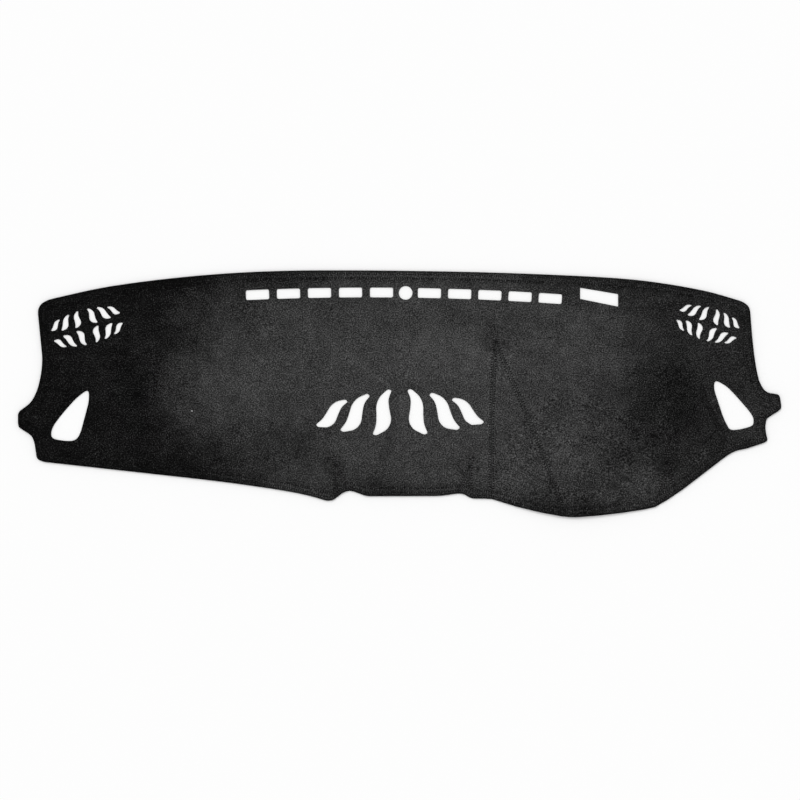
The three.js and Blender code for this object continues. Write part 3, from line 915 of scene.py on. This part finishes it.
def new_material(name):
    """A material with its Principled shader, and the object's own coordinates to draw with."""
    material = bpy.data.materials.new(name)
    material.use_nodes = True
    tree = material.node_tree
    shader = tree.nodes["Principled BSDF"]
    coordinates = tree.nodes.new("ShaderNodeTexCoord")
    return material, shader, Signal(tree, coordinates.outputs["Object"])


def elliptic_distance(x, y, centre, radii):
    """Distance from an ellipse's centre, which is 1 on the ellipse."""
    across = (x - centre[0]) / radii[0]
    along = (y - centre[1]) / radii[1]
    return (across * across + along * along) ** 0.5


def stroke_mask(x, y, start, end, half_width):
    """1 on a short stroke between two places, fading over its half width."""
    length = math.dist(start, end)
    along = ((end[0] - start[0]) / length, (end[1] - start[1]) / length)
    middle = ((start[0] + end[0]) / 2, (start[1] + end[1]) / 2)
    out_x, out_y = x - middle[0], y - middle[1]
    past_end = ((out_x * along[0] + out_y * along[1]).absolute() - length / 2).at_least(0.0)
    aside = out_y * along[0] - out_x * along[1]
    distance = (past_end * past_end + aside * aside) ** 0.5
    return distance.ramp(half_width * MARK_FADE[0], half_width * MARK_FADE[1])


def flannel(tones):
    """Black flannel: its broad tones of painted light and shade, clouds of brushed nap, fine grain, painted
    shade along the rows and small marks.
    """
    material, shader, place = new_material("black_flannel")
    parts = place.tree.nodes.new("ShaderNodeSeparateXYZ")
    feed(place.tree, parts.inputs["Vector"], place)
    x, y = Signal(place.tree, parts.outputs["X"]), Signal(place.tree, parts.outputs["Y"])

    # Painted light and shade: lighter in the middle, darker towards both ends
    ends = x.ramp(*END_TONE_CHANGE) * (tones.right_end - tones.left_end) + tones.left_end
    drift = place.noise(LIGHT_EDGE_SCALE, LIGHT_EDGE_DETAIL)
    lit = (elliptic_distance(x, y, LIGHT_CENTRE, LIGHT_RADII) + drift * LIGHT_EDGE_DRIFT).ramp(*LIGHT_EDGE)
    tone = ends + lit * (tones.middle - ends)
    for centre, radii, change in TONE_PATCHES:
        patch = (elliptic_distance(x, y, centre, radii) + drift * LIGHT_EDGE_DRIFT).ramp(*PATCH_FADE)
        tone = tone + patch * change

    for scale, detail, roughness, strength in NAP_LAYERS:
        tone = tone + place.noise(scale, detail, roughness) * strength
    tone = tone + place.noise(GRAIN_SCALE, GRAIN_DETAIL, FINE_ROUGHNESS) * tones.grain
    fibres = place.noise(FIBRE_SCALE, roughness=FINE_ROUGHNESS, stretch=FIBRE_STRETCH)
    tone = tone + fibres * FIBRE_STRENGTH

    # Painted shade: darker in the grooves of the hem, seams, dart and stitches, lighter between stitches
    groove_shade = place.node("ShaderNodeAttribute", {"attribute_name": GROOVE_SHADE_ATTRIBUTE}, {}, "Fac")
    tone = tone - groove_shade * GROOVE_SHADE_DARKENING * (tone + GROOVE_SHADE_FLOOR)
    # Painted shade of small creases, and two other small marks
    for start, end, half_width, change in CREASE_SHADE_AND_MARKS:
        tone = tone + stroke_mask(x, y, start, end, half_width) * change
    light = ((tone.at_least(DARKEST_TONE) + TONE_OFFSET) / (1.0 + TONE_OFFSET)) ** TONE_POWER
    feed(place.tree, shader.inputs["Base Color"], light)

    height = fibres + place.noise(NAP_TUFT_SCALE) * NAP_TUFT_HEIGHT
    bump = place.node("ShaderNodeBump", {}, {"Height": height, "Strength": NAP_BUMP, "Distance": NAP_DEPTH})
    feed(place.tree, shader.inputs["Normal"], bump)
    shader.inputs["Roughness"].default_value = FLANNEL_ROUGHNESS
    shader.inputs["Specular IOR Level"].default_value = FLANNEL_SPECULAR
    shader.inputs["Sheen Weight"].default_value = FLANNEL_SHEEN
    shader.inputs["Sheen Roughness"].default_value = FLANNEL_SHEEN_ROUGHNESS
    return material


def thread_finish(tones):
    """Matt black sewing thread with its twist."""
    material, shader, place = new_material("black_thread")
    fleck = place.noise(THREAD_FLECK_SCALE) * THREAD_FLECK + 1.0
    colour = place.node(
        "ShaderNodeMix",
        {"data_type": "RGBA", "blend_type": "MULTIPLY"},
        {"Factor": 1.0, MIX_FIRST_COLOUR: (*tones.thread, 1.0), MIX_SECOND_COLOUR: fleck},
        MIX_RESULT_COLOUR,
    )
    feed(place.tree, shader.inputs["Base Color"], colour)
    twist = place.noise(THREAD_TWIST_SCALE, THREAD_TWIST_DETAIL)
    bump = place.node(
        "ShaderNodeBump",
        {},
        {"Height": twist, "Strength": THREAD_BUMP, "Distance": THREAD_TWIST_DEPTH},
    )
    feed(place.tree, shader.inputs["Normal"], bump)
    shader.inputs["Roughness"].default_value = THREAD_ROUGHNESS
    shader.inputs["Specular IOR Level"].default_value = THREAD_SPECULAR
    return material


def shared(name, make, *values):
    """The material of that name, made on its first use."""
    return bpy.data.materials.get(name) or make(*values)


# Operators


def declare_cloth(piece, node):
    """Puts a piece of cloth under the root body and hides the node it stands for; the flat area it works
    out is not used.
    """
    outline = plan_of_mat().rims[node]
    area = abs(loop_area(outline))
    if node == PANEL:
        area -= sum(abs(loop_area(loop)) for loop in plan_of_mat().openings)
    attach(piece, "root")
    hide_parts(node)


PLANS = []


def plan_of_mat():
    """The mat's plan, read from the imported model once."""
    if not PLANS:
        PLANS.append(MatPlan(bpy.context.scene.mat_cloth, bpy.context.scene.mat_stitches))
    return PLANS[0]


class MAT_OT_stage(bpy.types.Operator):
    """Lay a white floor under the mat, with soft daylight and the camera straight above"""

    bl_idname = "mat.stage"
    bl_label = "Floor, light and camera"

    def execute(self, context):
        scene = context.scene
        tones = scene.mat_tones
        corners = [(-1, -1), (1, -1), (1, 1), (-1, 1)]
        mesh = bpy.data.meshes.new("floor")
        places = [(x * FLOOR_HALF, y * FLOOR_HALF, FLOOR_HEIGHT) for x, y in corners]
        mesh.from_pydata(places, [], [(0, 1, 2, 3)])
        material, shader, _ = new_material("white_floor")
        shader.inputs["Base Color"].default_value = (*tones.floor, 1.0)
        shader.inputs["Roughness"].default_value = 1.0
        shader.inputs["Specular IOR Level"].default_value = 0.0
        placed("floor", mesh, material)

        world = bpy.data.worlds.new("daylight")
        world.use_nodes = True
        scene.world = world
        tree = world.node_tree
        background = tree.nodes["Background"]
        rays = tree.nodes.new("ShaderNodeLightPath")
        seen = Signal(tree, rays.outputs["Is Camera Ray"])
        strength = seen * (1.0 - SKY_SHARE) + SKY_SHARE
        background.inputs["Color"].default_value = (1.0, 1.0, 1.0, 1.0)
        feed(tree, background.inputs["Strength"], strength)

        lamp = bpy.data.lights.new("window", "SUN")
        lamp.angle = SUN_ANGLE
        lamp.energy = (1.0 - SKY_SHARE) * math.pi / math.sin(SUN_ELEVATION)
        sun = bpy.data.objects.new("window", lamp)
        towards = Vector(
            (
                math.cos(SUN_ELEVATION) * math.cos(SUN_BEARING),
                math.cos(SUN_ELEVATION) * math.sin(SUN_BEARING),
                math.sin(SUN_ELEVATION),
            )
        )
        sun.rotation_euler = towards.to_track_quat("Z", "Y").to_euler()
        scene.collection.objects.link(sun)

        camera = bpy.data.cameras.new("camera")
        camera.lens = CAMERA_LENS
        camera.sensor_width = SENSOR
        camera.clip_end = CAMERA_CLIP
        view = bpy.data.objects.new("camera", camera)
        view.location = CAMERA_PLACE
        scene.collection.objects.link(view)
        scene.camera = view
        scene.view_settings.view_transform = "Standard"
        return {"FINISHED"}


class MAT_OT_panel(bpy.types.Operator):
    """Cut the mat's main panel with its openings, turned hem and dart"""

    bl_idname = "mat.panel"
    bl_label = "Main panel"

    def execute(self, context):
        material = shared("black_flannel", flannel, context.scene.mat_tones)
        mesh = cloth_piece(plan_of_mat(), PANEL, context.scene.mat_cloth)
        declare_cloth(placed("panel_cloth", mesh, material), PANEL)
        return {"FINISHED"}


class MAT_OT_gussets(bpy.types.Operator):
    """Cut the four inserts that are let into the mat's near edge"""

    bl_idname = "mat.gussets"
    bl_label = "Gussets"

    def execute(self, context):
        material = shared("black_flannel", flannel, context.scene.mat_tones)
        for node in GUSSETS:
            mesh = cloth_piece(plan_of_mat(), node, context.scene.mat_cloth)
            declare_cloth(placed(node + "_cloth", mesh, material), node)
        return {"FINISHED"}


def sew(context, nodes, pitch):
    """Replaces thread nodes by rows of separate stitches."""
    sizes = context.scene.mat_stitches
    material = shared("black_thread", thread_finish, context.scene.mat_tones)
    for number, node in enumerate(nodes):
        random = np.random.default_rng((sizes.seed, number))
        mesh = stitch_row(plan_of_mat(), node, pitch, sizes, random)
        piece = placed(node.replace("_thread", "_stitches"), mesh, material)
        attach(piece, "root")
        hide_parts(node)


class MAT_OT_hem_stitching(bpy.types.Operator):
    """Sew the two rows of stitches that hold the hem"""

    bl_idname = "mat.hem_stitching"
    bl_label = "Hem stitching"

    def execute(self, context):
        sew(context, HEM_ROWS, context.scene.mat_stitches.hem_pitch)
        return {"FINISHED"}


class MAT_OT_seam_stitching(bpy.types.Operator):
    """Sew the top stitching on both sides of every gusset seam"""

    bl_idname = "mat.seam_stitching"
    bl_label = "Seam stitching"

    def execute(self, context):
        nodes = [f"{gusset}_{ending}_thread" for gusset in GUSSETS for ending in SEAM_ROW_ENDINGS]
        sew(context, nodes, context.scene.mat_stitches.seam_pitch)
        return {"FINISHED"}


class MAT_PT_sidebar(bpy.types.Panel):
    """Lists the mat's pieces and sizes"""

    bl_idname = "MAT_PT_sidebar"
    bl_label = "Dashboard mat"
    bl_space_type = "VIEW_3D"
    bl_region_type = "UI"
    bl_category = "Dashboard mat"

    def draw(self, context):
        for operator in OPERATORS:
            self.layout.operator(operator.bl_idname)
        for group in (context.scene.mat_cloth, context.scene.mat_stitches, context.scene.mat_tones):
            box = self.layout.box()
            for name in type(group).__annotations__:
                box.prop(group, name)


GROUPS = {"mat_cloth": ClothSizes, "mat_stitches": StitchSizes, "mat_tones": MatTones}
OPERATORS = (
    MAT_OT_stage,
    MAT_OT_panel,
    MAT_OT_gussets,
    MAT_OT_hem_stitching,
    MAT_OT_seam_stitching,
)


def register():
    for name, group in GROUPS.items():
        bpy.utils.register_class(group)
        setattr(bpy.types.Scene, name, PointerProperty(type=group))
    for operator in OPERATORS:
        bpy.utils.register_class(operator)
    bpy.utils.register_class(MAT_PT_sidebar)


def unregister():
    bpy.utils.unregister_class(MAT_PT_sidebar)
    for operator in reversed(OPERATORS):
        bpy.utils.unregister_class(operator)
    for name, group in reversed(GROUPS.items()):
        delattr(bpy.types.Scene, name)
        bpy.utils.unregister_class(group)


def main():
    register()
    bpy.ops.mat.stage()
    bpy.ops.mat.panel()
    bpy.ops.mat.gussets()
    bpy.ops.mat.hem_stitching()
    bpy.ops.mat.seam_stitching()


if __name__ == "__main__":
    main()
